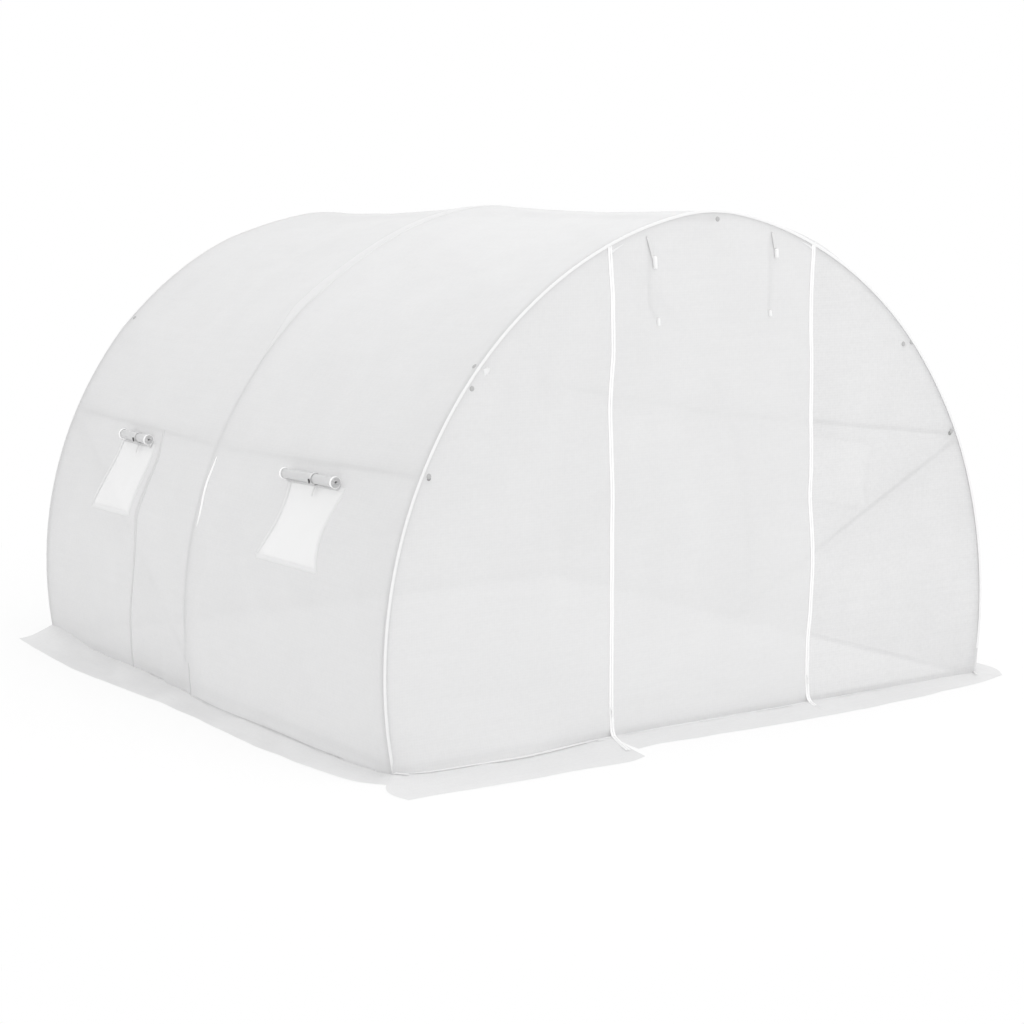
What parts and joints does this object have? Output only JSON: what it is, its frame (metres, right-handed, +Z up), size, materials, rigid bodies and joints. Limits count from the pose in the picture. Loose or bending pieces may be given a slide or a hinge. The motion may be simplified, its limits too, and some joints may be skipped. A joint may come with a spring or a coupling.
{
  "type": "polytunnel greenhouse",
  "caption": "Arched tube-framed garden tunnel under translucent film, with a roll-up zipped front door, screened side windows with rolled flaps, and ground skirts.",
  "frame": {"origin": "on the ground, at the middle of the footprint, skirts included", "axes": "+Z up, +Y from the front door towards the back, +X to the right seen from the front"},
  "size_m": [3.3854, 3.6406, 2.0033],
  "materials": {
    "tubes": "galvanised steel tube, satin",
    "film": "translucent white woven polyethylene film with a fine reinforcing grid",
    "skirts": "translucent white woven polyethylene film",
    "rolled_film": "rolled woven polyethylene film",
    "screens": "fine white insect mesh",
    "zips": "white woven zip tape with moulded teeth",
    "straps": "white woven strap",
    "piping": "white film-covered edge piping"
  },
  "bodies": {
    "root": {"back_arch_left": "tubes", "back_arch_right": "tubes", "back_leg_left": "tubes", "back_leg_right": "tubes", "back_wall": "film", "base_rail_back": "tubes", "base_rail_front": "tubes", "base_rail_left": "tubes", "base_rail_right": "tubes", "brace_left": "tubes", "brace_right": "tubes", "door_ties": "straps", "door_zips": "zips", "end_piping": "piping", "front_arch_left": "tubes", "front_arch_right": "tubes", "front_door": "film", "front_leg_left": "tubes", "front_leg_right": "tubes", "front_panel_left": "film", "front_panel_right": "film", "left_wall_back": "film", "left_wall_front": "film", "middle_arch_left": "tubes", "middle_arch_right": "tubes", "middle_leg_left": "tubes", "middle_leg_right": "tubes", "purlin_left_back": "tubes", "purlin_left_front": "tubes", "purlin_right_back": "tubes", "purlin_right_front": "tubes", "ridge_back": "tubes", "ridge_front": "tubes", "right_wall_back": "film", "right_wall_front": "film", "roof_back": "film", "roof_front": "film", "skirt_back": "skirts", "skirt_front": "skirts", "skirt_left": "skirts", "skirt_right": "skirts", "window_rolls_left": "rolled_film", "window_rolls_right": "rolled_film", "window_screens_left": "screens", "window_screens_right": "screens"}
  },
  "joints": []
}
